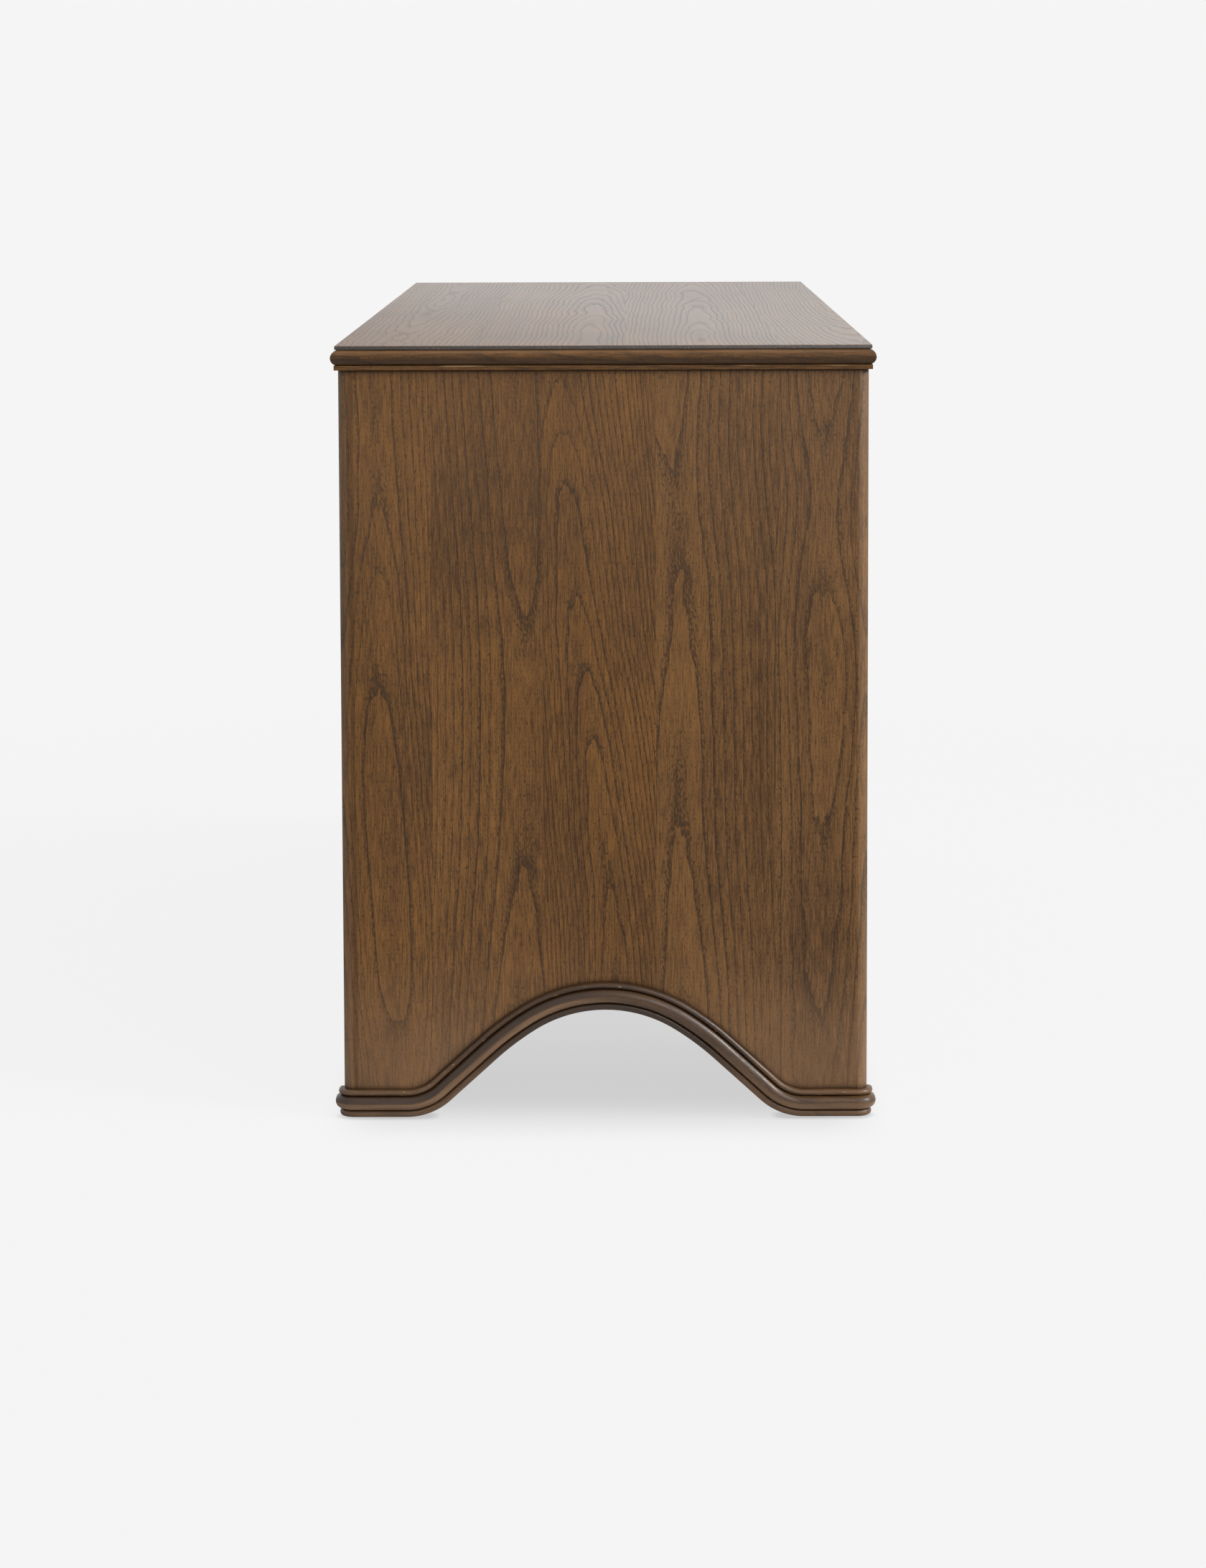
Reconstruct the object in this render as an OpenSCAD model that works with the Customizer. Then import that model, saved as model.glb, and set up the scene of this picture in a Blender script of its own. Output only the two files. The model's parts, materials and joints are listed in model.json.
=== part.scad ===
// Six-drawer dresser with arched ends. Millimetres, +Z up, the front faces -Y.
// The origin is on the floor under the middle of the case.

/* [Overall size] */
// Width over the base mouldings
overall_w = 1524; // [1200:1:1800]
// Depth over the base mouldings
overall_d = 533; // [500:1:620]
// Height from the floor to the top
overall_h = 762; // [720:1:900]

/* [Case] */
// Thickness of the end panels
end_t = 20; // [18:0.5:25]
// Thickness of the aprons and drawer fronts
front_t = 20; // [18:0.5:25]
// How far the aprons are set back from the ends' edges
apron_in = 10; // [8:0.5:16]
// Thickness of the back panel
back_t = 12; // [9:0.5:18]
// Thickness of the bottom panel
bottom_t = 18; // [15:0.5:22]
// Thickness of the centre divider
divider_t = 20; // [18:0.5:30]
// Radius of the case's vertical corners
corner_r = 10; // [6:0.5:14]
// Height of the drawer openings' lower edge above the floor
case_floor_z = 152; // [146:1:175]
// Height of the rails under the top
top_rail_h = 24; // [18:1:40]
// Height of the blades between the drawer rows
blade_h = 18; // [14:1:25]
// Depth of the rails and blades, front to back
rail_d = 60; // [40:1:90]
// Side of the square glue blocks in the feet
block_side = 40; // [30:1:42]
// Side of the square centre leg
leg_side = 54; // [40:1:80]

/* [Top] */
// Thickness of the top's square lip
lip_t = 3.75; // [3:0.25:6]
// How far the lip stands out from the case
lip_over = 2.7; // [2:0.1:5]
// Radius of the bead under the lip
top_bead_r = 7.5; // [6:0.25:9]
// How far the bead stands out from the case
top_bead_over = 6.6; // [5:0.1:8]
// Height of the fillet below the bead
fillet_h = 4.7; // [3:0.1:8]
// How far the fillet stands out from the case
fillet_over = 3.3; // [2:0.1:5]
// How far the groove between the bead and the lip stands out
top_back_over = 1; // [0:0.1:2]
// Height of that groove
top_groove_h = 0.55; // [0.4:0.05:2]
// How far the top moulding reaches in over the end panels
top_moulding_in = 18; // [12:0.5:18]

/* [Arch] */
// Height of the arches at their crest above the floor
arch_rise = 108.5; // [96:0.5:112]
// Radius at the crest of an arch
crest_r = 128.5; // [110:0.5:140]
// Radius of the shoulder beside the crest
shoulder_r = 265; // [230:1:290]
// Radius where an arch runs out into the foot
foot_r = 63.7; // [50:0.1:75]
// Slope where the crest meets the shoulder
crest_a = 31.8; // [28:0.1:34]
// Steepest slope of an arch
steep_a = 42.3; // [40:0.1:46]
// Length of each flat foot on the front and the back
front_foot = 150; // [135:1:200]

/* [Base moulding] */
// Radius of the bead nearest the floor
low_bead_r = 3.5; // [3:0.1:4]
// How far it stands out from the case
low_bead_over = 4.6; // [4:0.1:6]
// Radius of the large middle bead
big_bead_r = 7.1; // [6.5:0.1:7.5]
// How far it stands out from the case
big_bead_over = 9; // [8:0.1:10]
// Radius of the upper bead
high_bead_r = 3.1; // [2.5:0.1:3.5]
// How far it stands out from the case
high_bead_over = 5.8; // [5:0.1:7]
// How far the grooves between the beads stand out
groove_over = 1.5; // [1:0.1:2.5]
// How far the base mouldings run back from the ends' faces
base_return = 16; // [15:0.5:18]

/* [Drawers] */
// Step in height from one drawer row to the next
row_step = 20; // [0:1:30]
// Reveal round the drawer fronts
reveal = 2; // [1.5:0.25:3]
// Thickness of the drawer sides and ends
box_t = 12; // [10:0.5:15]
// Thickness of the drawer bottoms
box_bottom_t = 6; // [5:0.5:9]
// Length of the drawer boxes
box_l = 450; // [380:5:455]
// Gap between a box and the rail below it
box_low_gap = 10; // [6:1:20]
// Gap between a box and the rail above it
box_high_gap = 20; // [12:1:30]
// Height of the drawer bottom's groove above the box's lower edge
groove_z = 10; // [6:0.5:14]
// Depth of the grooves that hold the drawer bottom
groove_d = 6; // [4:0.5:7]
// Radius of the rounded edges of the drawer fronts
front_edge_r = 2; // [1:0.5:4]
// Height of one dovetail and its socket
tail_pitch = 34; // [24:1:45]
// Slope of the dovetails, run to rise
tail_slope = 0.16; // [0.12:0.01:0.2]
// Share of each pitch that the tail's wide end takes
tail_share = 0.6; // [0.5:0.05:0.7]

/* [Knobs] */
// Radius of the knob's head
knob_r = 16; // [12:0.5:20]
// How far a knob stands out from its drawer front
knob_over = 24; // [20:0.5:25]
// Radius of the knob's foot
knob_foot_r = 11; // [8:0.5:14]
// Radius of the knob's neck
knob_neck_r = 5.5; // [4:0.5:7]
// Thickness of the knob's foot
knob_foot_t = 2.5; // [2:0.25:4]
// Height of the dome on the knob's head
knob_dome_h = 7; // [5:0.5:9]
// Thickness of the head's rim
knob_rim_t = 2; // [1.5:0.25:3]
// Height of the flare below the rim
knob_flare_h = 4; // [3:0.5:6]

/* [Slides] */
// Height of a slide's case member
slide_h = 45.6; // [38:0.2:50]
// Width of a closed slide, which is the gap beside the drawer box
slide_w = 12.7; // [12.2:0.1:14]
// Sheet thickness of the slide members
slide_sheet = 1.2; // [1:0.1:1.5]
// Thickness of the ball races in the middle member
slide_race = 5; // [4:0.25:6]
// Height of the slide's centre line above the box's lower edge
slide_z = 50; // [40:1:60]
// Set-back of the slides from the drawer front's inner face
slide_back = 3; // [2:0.5:8]

/* [Glides] */
// Height of the floor glides
glide_t = 1.5; // [1:0.5:4]
// Radius of the floor glides
glide_r = 12; // [9:0.5:14]

/* [Clearances] */
// Running gap between slide members
slide_play = 0.3; // [0.2:0.05:0.5]
// Play of the drawer bottom in its grooves
groove_play = 0.2; // [0.1:0.05:0.4]
// How far the top bead is sunk in the fillet below it
bead_sink = 0.2; // [0.1:0.05:0.4]

/* [Hidden] */
case_w = overall_w - 2 * big_bead_over;
case_d = overall_d - 2 * big_bead_over;
half_w = case_w / 2;
half_d = case_d / 2;
top_moulding_h = fillet_h - bead_sink + 2 * top_bead_r + top_groove_h;
case_top_z = overall_h - lip_t - top_moulding_h;
inner_half_w = half_w - end_t;
case_h = case_top_z - glide_t;

// The arch, measured from its crest outwards and up from the foot line
rise = arch_rise - glide_t;
crest_c = [0, rise - crest_r];
shoulder_c = crest_c - (shoulder_r - crest_r) * [sin(crest_a), cos(crest_a)];
steep_top = shoulder_c + shoulder_r * [sin(steep_a), cos(steep_a)];
steep_l = (steep_top[1] - foot_r * (1 - cos(steep_a))) / sin(steep_a);
steep_end = steep_top + steep_l * [cos(steep_a), -sin(steep_a)];
foot_c = steep_end + foot_r * [sin(steep_a), cos(steep_a)];
arch_half = foot_c[0];
arc_step = 5.5;
corner_step = 5;
small_bead_steps = 6;
big_bead_steps = 10;
front_flat = half_w - front_foot - arch_half;

// The drawer openings
bay_w = inner_half_w - divider_t / 2;
open_top_z = case_top_z - top_rail_h;
mean_open_h = (open_top_z - case_floor_z - 2 * blade_h) / 3;
front_y = -half_d + front_t;
box_w = bay_w - 2 * slide_w;
box_end_y = front_y + box_l;
slide_l = box_l - slide_back;

ROWS = ["bottom", "middle", "top"];
COLUMNS = ["left", "right"];
DRAWER_PIECES = ["front", "sides", "ends", "bottom", "knob", "slide_members", "middle_members"];
CASE_PIECES = [
    "left_end_panel", "right_end_panel", "top_panel", "top_moulding",
    "left_base_moulding", "right_base_moulding", "front_apron", "back_apron",
    "back_panel", "bottom_panel", "centre_divider",
    "top_rails", "drawer_blades", "support_blocks", "floor_glides", "case_slide_members"
];
function drawer_name(row, column, piece) = str(ROWS[row], "_", COLUMNS[column], "_drawer_", piece);

oak = [0.36, 0.26, 0.18];
dark_oak = [0.29, 0.21, 0.15];
pale_ash = [0.78, 0.66, 0.48];
bronze = [0.33, 0.26, 0.17];
zinc = [0.72, 0.73, 0.75];
nylon = [0.15, 0.14, 0.13];

// Opening heights and places, row 0 at the bottom and column 0 on the left
function open_h(row) = mean_open_h + (1 - row) * row_step;
function open_z(row) = row == 0 ? case_floor_z : open_z(row - 1) + open_h(row - 1) + blade_h;
function bay_x(column) = (2 * column - 1) * (divider_t + bay_w) / 2;
function box_z(row) = open_z(row) + box_low_gap;
function box_h(row) = open_h(row) - box_low_gap - box_high_gap;

// One half of an arch's lower edge as [across, up, slope], with a flat stretch at the crest
function arc_steps(from, to) = ceil(abs(to - from) / arc_step);
function sweep(from, to, first = 0) =
    [for (i = [first:arc_steps(from, to)]) from + (to - from) * i / arc_steps(from, to)];
function half_arch(flat) = concat(
    [for (a = sweep(0, crest_a)) [flat + crest_r * sin(a), crest_c[1] + crest_r * cos(a), a]],
    [for (a = sweep(crest_a, steep_a, 1))
        [flat + shoulder_c[0] + shoulder_r * sin(a), shoulder_c[1] + shoulder_r * cos(a), a]],
    [for (a = sweep(steep_a, 0)) [flat + foot_c[0] - foot_r * sin(a), foot_c[1] - foot_r * cos(a), a]]
);
function mirrored(half, from) = [for (i = [len(half) - 1:-1:from]) [-half[i][0], half[i][1], -half[i][2]]];
function whole_arch(flat) = concat(mirrored(half_arch(flat), flat > 0 ? 0 : 1), half_arch(flat));

// A board that stands on the foot line, with the arch cut from its lower edge
module arched_outline(half_l, height, flat) {
    arch = [for (s = whole_arch(flat)) [s[0], s[1]]];
    polygon(concat([[-half_l, 0]], arch, [[half_l, 0], [half_l, height], [-half_l, height]]));
}

// Frames on the four sides: x runs along the side, y up from the foot line and z out of the case
module on_front() { translate([0, -half_d, glide_t]) rotate([90, 0, 0]) children(); }
module on_back() { mirror([0, 1, 0]) on_front() children(); }
module on_right_end() { translate([half_w, 0, glide_t]) rotate([90, 0, 90]) children(); }
module on_left_end() { mirror([1, 0, 0]) on_right_end() children(); }

// The case's block, with its four vertical corners rounded
module case_plan() {
    square([case_w - 2 * corner_r, case_d], center = true);
    square([case_w, case_d - 2 * corner_r], center = true);
    for (x = [-1, 1], y = [-1, 1]) {
        translate([x * (half_w - corner_r), y * (half_d - corner_r)]) circle(r = corner_r, $fn = 64);
    }
}

module end_panel() {
    intersection() {
        on_right_end() translate([0, 0, -end_t]) linear_extrude(end_t) arched_outline(half_d, case_h, 0);
        translate([0, 0, glide_t]) linear_extrude(case_h) case_plan();
    }
}
module left_end_panel() { color(oak) mirror([1, 0, 0]) end_panel(); }
module right_end_panel() { color(oak) end_panel(); }

// The top is one board: a core between the moulding lengths, and a square lip that covers them
module top_panel() {
    core_h = top_moulding_h + lip_t;
    color(oak) union() {
        translate([0, 0, case_top_z + core_h / 2])
            cube([case_w - 2 * top_moulding_in, case_d - 2 * top_moulding_in, core_h], center = true);
        translate([0, 0, overall_h - lip_t / 2])
            cube([case_w + 2 * lip_over, case_d + 2 * lip_over, lip_t], center = true);
    }
}

// Section of the top moulding: x out of the case, y up from the case's top edge
module top_section() {
    translate([-top_moulding_in, 0]) square([top_moulding_in + top_back_over, top_moulding_h]);
    translate([-top_moulding_in, 0]) square([top_moulding_in + fillet_over, fillet_h]);
    intersection() {
        translate([top_bead_over - top_bead_r, fillet_h + top_bead_r - bead_sink])
            circle(r = top_bead_r, $fn = 96);
        translate([0, fillet_h / 2]) square([2 * top_bead_r, 2 * top_bead_r + fillet_h]);
    }
}

// One length of top moulding on the side that faces +X, cut to mitres at both ends
module top_length(half_across, half_along) {
    reach = 2 * top_bead_r;
    translate([0, 0, case_top_z]) intersection() {
        translate([half_across, 0, 0]) rotate([90, 0, 0])
            linear_extrude(2 * (half_along + reach), center = true) top_section();
        linear_extrude(top_moulding_h) polygon([
            [half_across - top_moulding_in, top_moulding_in - half_along],
            [half_across + reach, -half_along - reach],
            [half_across + reach, half_along + reach],
            [half_across - top_moulding_in, half_along - top_moulding_in]
        ]);
    }
}
module top_moulding() {
    color(dark_oak) for (turn = [0, 180]) {
        rotate(turn) top_length(half_w, half_d);
        rotate(turn + 90) top_length(half_d, half_w);
    }
}

// Section of the base moulding as [up, out] points: three beads with grooves between them
function bead(from, r, over, steps) = [
    for (i = [0:steps - 1], a = 180 * i / steps)
        [from + r * (1 - cos(a)), groove_over + (over - groove_over) * sin(a)]
];
base_moulding_h = 2 * (low_bead_r + big_bead_r + high_bead_r);
base_section = concat(
    [[0, 0]],
    bead(0, low_bead_r, low_bead_over, small_bead_steps),
    bead(2 * low_bead_r, big_bead_r, big_bead_over, big_bead_steps),
    bead(2 * (low_bead_r + big_bead_r), high_bead_r, high_bead_over, small_bead_steps),
    [[base_moulding_h, groove_over], [base_moulding_h, 0]]
);

// Places along a base moulding as [point, direction up, direction out], from one cut end to the other
arch_places = [for (s = whole_arch(0)) [[s[0], s[1], 0], [sin(s[2]), cos(s[2]), 0], [0, 0, 1]]];
function corner_place(side, a) = [
    [side * (half_d - corner_r + corner_r * sin(a)), 0, corner_r * (cos(a) - 1)],
    [0, 1, 0],
    [side * sin(a), 0, cos(a)]
];
function return_place(side) = [[side * half_d, 0, -base_return], [0, 1, 0], [side, 0, 0]];
base_places = concat(
    [return_place(-1)],
    [for (a = [90:-corner_step:0]) corner_place(-1, a)],
    arch_places,
    [for (a = [0:corner_step:90]) corner_place(1, a)],
    [return_place(1)]
);

// A base moulding swept along the arch, round both corners and back along the end panel's edges
module base_moulding() {
    places = base_places;
    rows = len(places);
    n = len(base_section);
    polyhedron(
        points = [for (p = places, s = base_section) p[0] + s[0] * p[1] + s[1] * p[2]],
        faces = concat(
            [[for (j = [0:n - 1]) j]],
            [for (i = [0:rows - 2], j = [0:n - 1])
                [i * n + j, (i + 1) * n + j, (i + 1) * n + (j + 1) % n, i * n + (j + 1) % n]],
            [[for (j = [n - 1:-1:0]) (rows - 1) * n + j]]
        ),
        convexity = 6
    );
}
module left_base_moulding() { color(dark_oak) on_left_end() base_moulding(); }
module right_base_moulding() { color(dark_oak) on_right_end() base_moulding(); }

module apron() {
    apron_h = case_floor_z - bottom_t - glide_t;
    translate([0, 0, -apron_in - front_t])
        linear_extrude(front_t) arched_outline(inner_half_w, apron_h, front_flat);
}
module front_apron() { color(oak) on_front() apron(); }
module back_apron() { color(oak) on_back() apron(); }

module back_panel() {
    color(oak) translate([-inner_half_w, half_d - back_t, case_floor_z])
        cube([2 * inner_half_w, back_t, case_top_z - case_floor_z]);
}
module bottom_panel() {
    color(oak) translate([-inner_half_w, -half_d, case_floor_z - bottom_t])
        cube([2 * inner_half_w, case_d, bottom_t]);
}
module centre_divider() {
    color(oak) translate([-divider_t / 2, -half_d, case_floor_z])
        cube([divider_t, case_d - back_t, open_top_z - case_floor_z]);
}
module top_rails() {
    color(oak) for (y = [-half_d, half_d - back_t - rail_d]) {
        translate([-inner_half_w, y, open_top_z]) cube([2 * inner_half_w, rail_d, top_rail_h]);
    }
}
module drawer_blades() {
    color(oak) for (row = [1, 2], column = [0, 1]) {
        translate([bay_x(column) - bay_w / 2, -half_d, open_z(row) - blade_h])
            cube([bay_w, rail_d, blade_h]);
    }
}

// The places where the case stands: the four feet and the middle
block_x = inner_half_w - block_side / 2;
block_y = half_d - apron_in - front_t - block_side / 2;
FEET = [for (x = [-1, 1], y = [-1, 1]) [x * block_x, y * block_y, block_side]];
module support_blocks() {
    block_h = case_floor_z - bottom_t - glide_t;
    color(oak) for (foot = concat(FEET, [[0, 0, leg_side]])) {
        translate([foot[0], foot[1], glide_t + block_h / 2])
            cube([foot[2], foot[2], block_h], center = true);
    }
}
module floor_glides() {
    color(nylon) for (foot = concat(FEET, [[0, 0]])) {
        translate([foot[0], foot[1], 0]) cylinder(h = glide_t, r = glide_r, $fn = 48);
    }
}

// Sections of a slide's members: x from the case's wall towards the drawer, y up from the centre line
module channel_section(from, to, half_h, flange, web_from) {
    difference() {
        translate([from, -half_h]) square([to - from, 2 * half_h]);
        translate([web_from, flange - half_h]) square([to - from - slide_sheet, 2 * (half_h - flange)]);
    }
}
middle_half_h = slide_h / 2 - slide_sheet - slide_play;
middle_from = slide_sheet + slide_play;
middle_to = slide_w - slide_sheet - slide_play;
drawer_half_h = middle_half_h - slide_race - slide_play;
drawer_from = middle_from + slide_sheet + slide_play;
module case_section() {
    channel_section(0, slide_w - 2 * slide_sheet, slide_h / 2, slide_sheet, slide_sheet);
}
module middle_section() {
    channel_section(middle_from, middle_to, middle_half_h, slide_race, middle_from + slide_sheet);
}
module drawer_section() {
    channel_section(drawer_from, slide_w, drawer_half_h, slide_sheet, drawer_from);
}
// Both slides of one drawer, with the given section
module slide_pair(row, column) {
    for (side = [-1, 1]) {
        translate([bay_x(column) + side * bay_w / 2, box_end_y, box_z(row) + slide_z])
            mirror([side > 0 ? 1 : 0, 0, 0]) rotate([90, 0, 0]) linear_extrude(slide_l) children();
    }
}
module case_slide_members() {
    color(zinc) for (row = [0:2], column = [0, 1]) {
        slide_pair(row, column) case_section();
    }
}
module drawer_slide_members(row, column) { color(zinc) slide_pair(row, column) drawer_section(); }
module drawer_middle_members(row, column) { color(zinc) slide_pair(row, column) middle_section(); }

// Section of a drawer front: its face is on the x axis, and both corners there are rounded
module front_section(l) {
    r = front_edge_r;
    translate([-l / 2, r]) square([l, front_t - r]);
    translate([r - l / 2, 0]) square([l - 2 * r, front_t]);
    for (side = [-1, 1]) {
        translate([side * (l / 2 - r), r]) circle(r = r, $fn = 32);
    }
}
module drawer_front(row, column) {
    w = bay_w - 2 * reveal;
    h = open_h(row) - 2 * reveal;
    color(oak) translate([bay_x(column), -half_d, open_z(row) + open_h(row) / 2]) intersection() {
        linear_extrude(h, center = true) front_section(w);
        rotate([90, 0, 90]) linear_extrude(w, center = true) rotate(90) mirror([0, 1]) front_section(h);
    }
}

// Dovetails on the edge of a side board as [beyond the shoulder, up] points
function tail_count(h) = max(2, round(h / tail_pitch));
function tail_half(h, beyond) =
    tail_share * h / tail_count(h) / 2 - (1 - beyond) * box_t * tail_slope;
function tails(h) = [
    for (n = tail_count(h), i = [0:n - 1], q = [[0, -1], [1, -1], [1, 1], [0, 1]])
        [q[0] * box_t, h * (i + 0.5) / n + q[1] * tail_half(h, q[0])]
];
module side_outline(h) {
    edge = tails(h);
    from = front_y + box_t;
    to = box_end_y - box_t;
    front = [for (q = edge) [from - q[0], q[1]]];
    back = [for (i = [len(edge) - 1:-1:0]) [to + edge[i][0], edge[i][1]]];
    polygon(concat([[from, 0]], front, [[from, h], [to, h]], back, [[to, 0]]));
}
module side_boards(row, column) {
    for (x = [-box_w / 2, box_w / 2 - box_t]) {
        translate([bay_x(column) + x, 0, box_z(row)]) rotate([90, 0, 90])
            linear_extrude(box_t) side_outline(box_h(row));
    }
}
// The space of the bottom board, grown by the given play at its edges and above it
module bottom_space(row, column, play) {
    w = box_w - 2 * box_t + 2 * groove_d - 2 * groove_play;
    l = box_l - 2 * box_t + 2 * groove_d - 2 * groove_play;
    translate([bay_x(column) - w / 2 - play, (front_y + box_end_y - l) / 2 - play, box_z(row) + groove_z])
        cube([w + 2 * play, l + 2 * play, box_bottom_t + play]);
}
module drawer_sides(row, column) {
    color(pale_ash) difference() {
        side_boards(row, column);
        bottom_space(row, column, groove_play);
    }
}
module drawer_ends(row, column) {
    color(pale_ash) difference() {
        for (y = [front_y, box_end_y - box_t]) {
            translate([bay_x(column) - box_w / 2, y, box_z(row)]) cube([box_w, box_t, box_h(row)]);
        }
        side_boards(row, column);
        bottom_space(row, column, groove_play);
    }
}
module drawer_bottom(row, column) { color(pale_ash) bottom_space(row, column, 0); }

// A turned knob: foot, neck and a domed head
module knob_section() {
    dome_r = (knob_r * knob_r + knob_dome_h * knob_dome_h) / (2 * knob_dome_h);
    rim_top = knob_over - knob_dome_h;
    rim_low = rim_top - knob_rim_t;
    flare_low = rim_low - knob_flare_h;
    square([knob_foot_r, knob_foot_t]);
    square([knob_neck_r, rim_top]);
    polygon([[0, flare_low], [knob_neck_r, flare_low], [knob_r, rim_low], [knob_r, rim_top], [0, rim_top]]);
    intersection() {
        translate([0, knob_over - dome_r]) circle(r = dome_r, $fn = 96);
        translate([0, rim_top]) square([knob_r, knob_dome_h]);
    }
}
module drawer_knob(row, column) {
    color(bronze) translate([bay_x(column), -half_d, open_z(row) + open_h(row) / 2])
        rotate([90, 0, 0]) rotate_extrude($fn = 96) knob_section();
}

left_end_panel();
right_end_panel();
top_panel();
top_moulding();
left_base_moulding();
right_base_moulding();
front_apron();
back_apron();
back_panel();
bottom_panel();
centre_divider();
top_rails();
drawer_blades();
support_blocks();
floor_glides();
case_slide_members();
for (row = [0:2], column = [0, 1]) {
    drawer_front(row, column);
    drawer_sides(row, column);
    drawer_ends(row, column);
    drawer_bottom(row, column);
    drawer_knob(row, column);
    drawer_slide_members(row, column);
    drawer_middle_members(row, column);
}
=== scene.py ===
# %% [markdown]
# # A dresser in stained ash
# The dresser is a low, wide case of six drawers. Its ends stand on arched feet, a moulding of three beads
# follows those arches and wraps round the ends' edges, and a single bead runs under the thin lip of the top.
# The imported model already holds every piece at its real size, so this script only dresses it: it gives
# the boards eased edges, sweeps the mouldings finer, and builds the finishes out of nodes.

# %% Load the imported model
import json
import math

import bmesh
import bpy
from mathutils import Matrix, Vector


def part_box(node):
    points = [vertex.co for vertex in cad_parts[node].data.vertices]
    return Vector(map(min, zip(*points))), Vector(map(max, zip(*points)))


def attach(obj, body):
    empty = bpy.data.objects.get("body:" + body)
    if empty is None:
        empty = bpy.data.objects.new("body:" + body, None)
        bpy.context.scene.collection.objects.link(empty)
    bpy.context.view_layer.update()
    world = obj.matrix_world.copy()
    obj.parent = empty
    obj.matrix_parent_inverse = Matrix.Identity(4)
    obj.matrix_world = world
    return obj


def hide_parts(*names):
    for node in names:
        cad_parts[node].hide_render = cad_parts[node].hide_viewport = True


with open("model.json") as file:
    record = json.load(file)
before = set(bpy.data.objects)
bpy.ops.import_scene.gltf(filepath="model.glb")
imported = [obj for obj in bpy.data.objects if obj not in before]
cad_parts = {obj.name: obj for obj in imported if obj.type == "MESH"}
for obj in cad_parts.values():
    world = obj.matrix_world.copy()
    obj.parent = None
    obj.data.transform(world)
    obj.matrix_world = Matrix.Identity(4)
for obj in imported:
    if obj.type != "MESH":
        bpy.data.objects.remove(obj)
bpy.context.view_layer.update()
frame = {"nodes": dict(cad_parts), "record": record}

# %% [markdown]
# ## The camera
# The photograph was taken along the dresser's length, a few metres from its right end and a little above
# the top, with a long lens. The lens is shifted down so that the upright edges stay nearly parallel.

# %% Camera at the photograph's place
CAMERA_PLACE = (4.515, 0.0186, 0.9748)
CAMERA_PITCH = 5.3
CAMERA_ROLL = 0.185
CAMERA_YAW = 0.275
LENS_MM = 89.37
SHIFT_DOWN = -0.1905

camera = bpy.data.objects.new("camera", bpy.data.cameras.new("camera"))
camera.location = CAMERA_PLACE
camera.rotation_euler = (
    math.radians(90 - CAMERA_PITCH),
    math.radians(CAMERA_ROLL),
    math.radians(90 + CAMERA_YAW),
)
camera.data.lens = LENS_MM
camera.data.shift_y = SHIFT_DOWN
bpy.context.scene.collection.objects.link(camera)
bpy.context.scene.camera = camera
print("camera at", tuple(camera.location))

# %% [markdown]
# ## Shader maths in Python
# A material is a graph of nodes, and most of the nodes are arithmetic. The class below wraps the output
# of a node, so that an expression such as 1 - mask adds the Math node by itself. Every other kind of
# node comes from its node method.

# %% A socket that Python's operators work on
class Wire:
    """One output of a node. Arithmetic on it adds Math nodes to its tree."""

    def __init__(self, tree, socket=None):
        self.tree = tree
        self.socket = socket

    def node(self, kind, settings=None, sockets=None, out=0):
        """Adds a node, applies its settings, feeds its sockets and returns one of its outputs."""
        made = self.tree.nodes.new("ShaderNode" + kind)
        for name, value in (settings or {}).items():
            if name == "stops":
                set_stops(made.color_ramp, value)
            elif name == "interpolation":
                made.color_ramp.interpolation = value
            else:
                setattr(made, name, value)
        for name, value in (sockets or {}).items():
            if isinstance(value, Wire):
                self.tree.links.new(value.socket, made.inputs[name])
            else:
                made.inputs[name].default_value = value
        return Wire(self.tree, made.outputs[out])

    def maths(self, operation, *values):
        return self.node("Math", {"operation": operation}, dict(enumerate(values)))

    def __add__(self, other):
        return self.maths("ADD", self, other)

    def __mul__(self, other):
        return self.maths("MULTIPLY", self, other)

    def __sub__(self, other):
        return self.maths("SUBTRACT", self, other)

    def __rsub__(self, other):
        return self.maths("SUBTRACT", other, self)

    def __truediv__(self, other):
        return self.maths("DIVIDE", self, other)

    def __gt__(self, other):
        return self.maths("GREATER_THAN", self, other)

    __radd__ = __add__
    __rmul__ = __mul__


def set_stops(ramp, stops):
    """Gives a colour ramp its stops, each a place from 0 to 1 and a grey level or a colour."""
    while len(ramp.elements) < len(stops):
        ramp.elements.new(0.5)
    for element, (place, value) in zip(ramp.elements, stops):
        element.position = place
        element.color = value if isinstance(value, tuple) else (value, value, value, 1.0)


print("shader maths ready")

# %% The few nodes that every finish uses
def smooth(value, low, high):
    """0 below low, 1 above high and an even curve between them."""
    sockets = {"Value": value, "From Min": low, "From Max": high}
    return value.node("MapRange", {"interpolation_type": "SMOOTHSTEP"}, sockets)


def mix(factor, first, second):
    """Colour first where factor is 0 and second where it is 1."""
    wire = next(w for w in (factor, first, second) if isinstance(w, Wire))
    return wire.node("Mix", {"data_type": "RGBA"}, {0: factor, 6: first, 7: second}, out=2)


def point(x, y, z):
    wire = next(w for w in (x, y, z) if isinstance(w, Wire))
    return wire.node("CombineXYZ", None, {"X": x, "Y": y, "Z": z})


def axes(wire, place):
    """The three coordinates of a place, each as a wire."""
    return [wire.node("SeparateXYZ", None, {"Vector": place}, out=i) for i in range(3)]


def noise(place, detail=2.0, roughness=0.5):
    """Soft noise from about -1 to 1, at a place that is already scaled."""
    sockets = {"Vector": place, "Scale": 1.0, "Detail": detail, "Roughness": roughness}
    return place.node("TexNoise", None, sockets) * 2.0 - 1.0


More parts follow.
